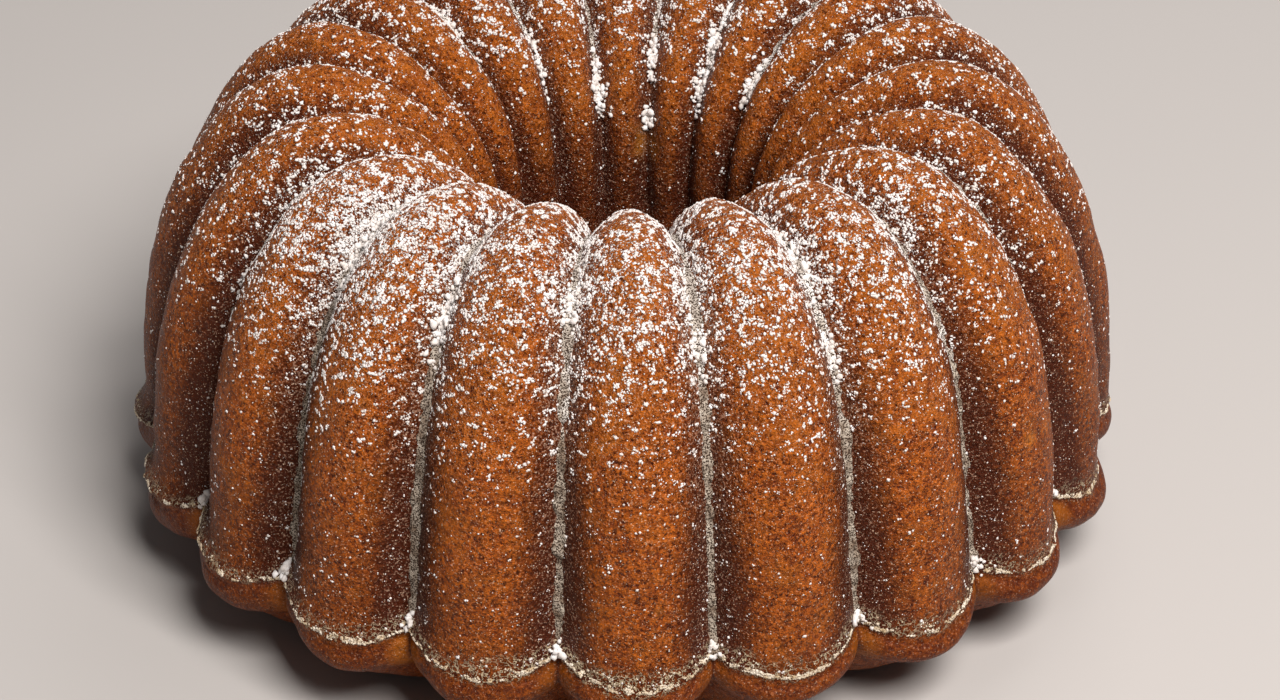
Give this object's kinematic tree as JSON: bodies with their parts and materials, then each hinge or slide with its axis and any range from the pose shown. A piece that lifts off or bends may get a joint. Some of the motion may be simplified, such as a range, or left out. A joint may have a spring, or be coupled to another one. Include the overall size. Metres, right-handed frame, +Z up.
{
  "type": "lemon pound cake",
  "caption": "Whole lemon pound cake baked as a fluted ring: round-backed flutes over a tall crown, a scalloped foot lip, a central hole and a light fall of icing sugar.",
  "frame": {"origin": "centre of the ring's bounding circle, on the plane that the cake stands on", "axes": "+Z up along the axis of the ring and of its hole; one flute faces -Y"},
  "size_m": [0.2424, 0.2424, 0.1184],
  "materials": {
    "crust": null,
    "icing_sugar": null
  },
  "bodies": {
    "root": {"cake": "crust"}
  },
  "joints": []
}
